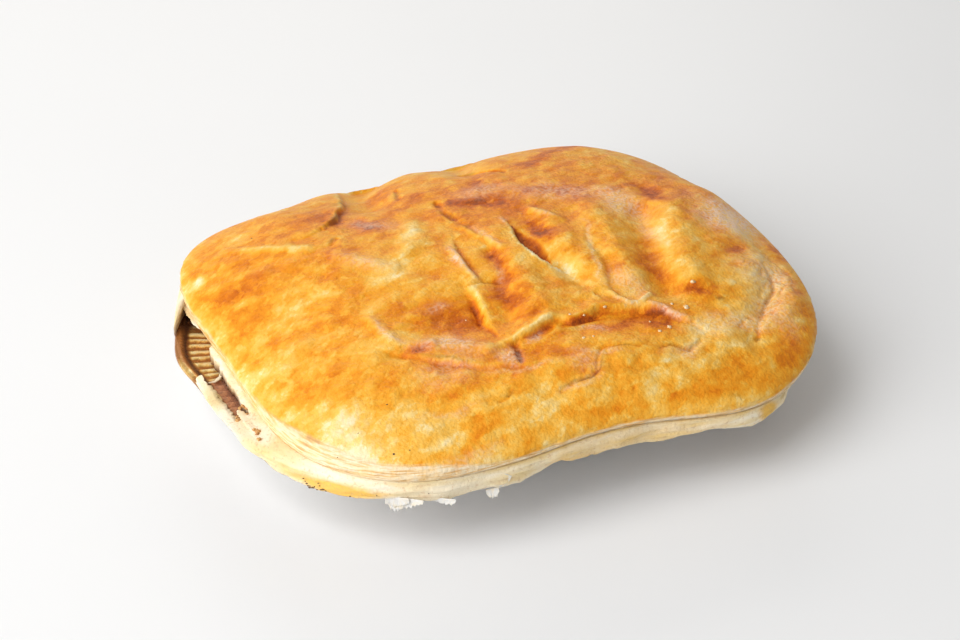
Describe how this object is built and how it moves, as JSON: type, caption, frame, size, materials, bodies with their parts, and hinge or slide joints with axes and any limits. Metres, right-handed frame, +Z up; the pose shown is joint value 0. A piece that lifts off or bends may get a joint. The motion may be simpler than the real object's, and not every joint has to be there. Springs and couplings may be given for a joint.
{
  "type": "chicken and ham pie",
  "caption": "Baked rectangular pie in its fluted foil tray: a puffed golden pastry lid with vent slashes on a pale pastry base that folds over the tray's rolled rim.",
  "frame": {"origin": "centre of the foil tray's flat base, on the table", "axes": "+X along the pie's longer side, away from the torn end; +Y to the back; +Z up out of the lid"},
  "size_m": [0.1738, 0.145, 0.0412],
  "materials": {
    "foil": "thin fluted foil, bright, tinted gold and brown by baking juices",
    "pale_pastry": "pale, matt, flaky shortcrust with golden and browned patches",
    "golden_pastry": "puff pastry crust, egg glazed, golden to caramel brown, satin"
  },
  "bodies": {
    "root": {"foil_tray": "foil", "pastry_base": "pale_pastry", "pastry_lid": "golden_pastry"}
  },
  "joints": []
}
